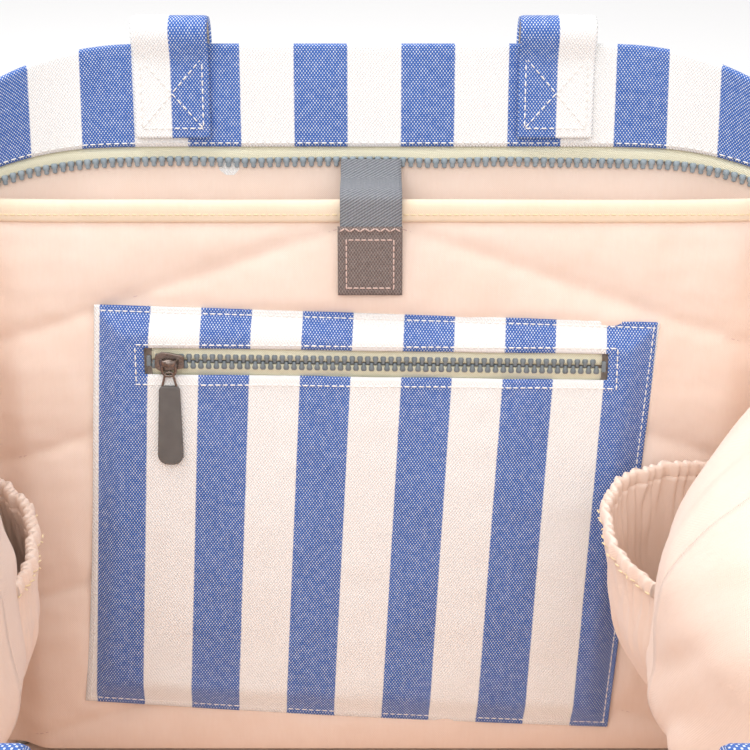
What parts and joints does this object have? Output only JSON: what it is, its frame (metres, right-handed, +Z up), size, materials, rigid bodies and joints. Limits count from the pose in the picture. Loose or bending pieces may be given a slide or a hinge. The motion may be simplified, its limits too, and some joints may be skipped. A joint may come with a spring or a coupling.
{
  "type": "zip-top tote bag",
  "caption": "Open zip-top tote of striped canvas with lining, bound laptop sleeve and strap, zipped patch pocket, gathered side pockets and two swinging handles.",
  "frame": {"origin": "centre of the base on the surface that the bag stands on", "axes": "+Z up, +Y towards the back wall that carries the laptop sleeve, +X to the right when looking at that wall from inside"},
  "size_m": [0.4021, 0.4108, 0.3164],
  "materials": {
    "striped_canvas": "blue and off-white striped woven canvas",
    "lining_cotton": "fine plain cotton, peach cream",
    "binding_tape": "folded cotton binding",
    "zip_tape": "woven polyester tape",
    "zip_teeth": "moulded acetal, satin grey",
    "gunmetal": "dark plated zinc casting",
    "pull_rubber": "matt moulded rubber",
    "elastic_webbing": "grey twill elastic",
    "hook_tape": "taupe coarse weave over hook tape",
    "loop_tape": "brushed loop tape",
    "stiffener": "sealed polyethylene board"
  },
  "bodies": {
    "root": {"back_shell_panel": "striped_canvas", "front_shell_panel": "striped_canvas", "base_shell_panel": "striped_canvas", "back_facing": "striped_canvas", "front_facing": "striped_canvas", "patch_pocket": "striped_canvas", "zip_tail_end": "striped_canvas", "back_handle_end_left": "striped_canvas", "back_handle_end_right": "striped_canvas", "front_handle_end_left": "striped_canvas", "front_handle_end_right": "striped_canvas", "back_lining": "lining_cotton", "front_lining": "lining_cotton", "base_lining": "lining_cotton", "laptop_sleeve": "lining_cotton", "left_side_pocket": "lining_cotton", "right_side_pocket": "lining_cotton", "left_pocket_elastic": "lining_cotton", "right_pocket_elastic": "lining_cotton", "sleeve_binding": "binding_tape", "zip_tape_back": "zip_tape", "zip_tape_front": "zip_tape", "zip_tail_tape": "zip_tape", "pocket_zip_tape_upper": "zip_tape", "pocket_zip_tape_lower": "zip_tape", "zip_teeth_back": "zip_teeth", "zip_teeth_front": "zip_teeth", "zip_tail_teeth": "zip_teeth", "pocket_teeth_upper": "zip_teeth", "pocket_teeth_lower": "zip_teeth", "pocket_zip_stops": "zip_teeth", "loop_patch": "loop_tape", "base_board": "stiffener"},
    "back_handle": {"back_handle": "striped_canvas"},
    "front_handle": {"front_handle": "striped_canvas"},
    "main_slider": {"main_slider": "gunmetal"},
    "main_pull": {"main_pull_ring": "gunmetal", "main_pull_link": "gunmetal", "main_pull_tab": "pull_rubber"},
    "pocket_slider": {"pocket_slider": "gunmetal"},
    "pocket_pull": {"pocket_pull_ring": "gunmetal", "pocket_pull_link": "gunmetal", "pocket_pull_tab": "pull_rubber"},
    "strap": {"strap_elastic": "elastic_webbing", "strap_hook_tab": "hook_tape"}
  },
  "joints": [
    {"name": "back_handle_swing", "type": "hinge", "parent": "root", "child": "back_handle", "pos_m": [0, 0.17976, 0.31117], "axis": [1, 0, 0], "range_deg": [0, 175]},
    {"name": "front_handle_swing", "type": "hinge", "parent": "root", "child": "front_handle", "pos_m": [0, -0.1847, 0.26532], "axis": [-1, 0, 0], "range_deg": [0, 175]},
    {"name": "main_slider_travel", "type": "slide", "parent": "root", "child": "main_slider", "axis": [0.9387, 0, -0.3447], "range_m": [0, 0.03]},
    {"name": "main_pull_swing", "type": "hinge", "parent": "main_slider", "child": "main_pull", "pos_m": [-0.18929, -0.0025, 0.25054], "axis": [0, -1, 0], "range_deg": [0, 150]},
    {"name": "pocket_slider_travel", "type": "slide", "parent": "root", "child": "pocket_slider", "axis": [0.9999, -0.0036, -0.0135], "range_m": [0, 0.17]},
    {"name": "pocket_pull_swing", "type": "hinge", "parent": "pocket_slider", "child": "pocket_pull", "pos_m": [-0.08449, 0.11955, 0.19002], "axis": [-0.9999, 0.0036, 0.0135], "range_deg": [0, 110]},
    {"name": "strap_lift", "type": "hinge", "parent": "root", "child": "strap", "pos_m": [0, 0.16006, 0.25257], "axis": [-1, 0, 0], "range_deg": [0, 90]}
  ]
}
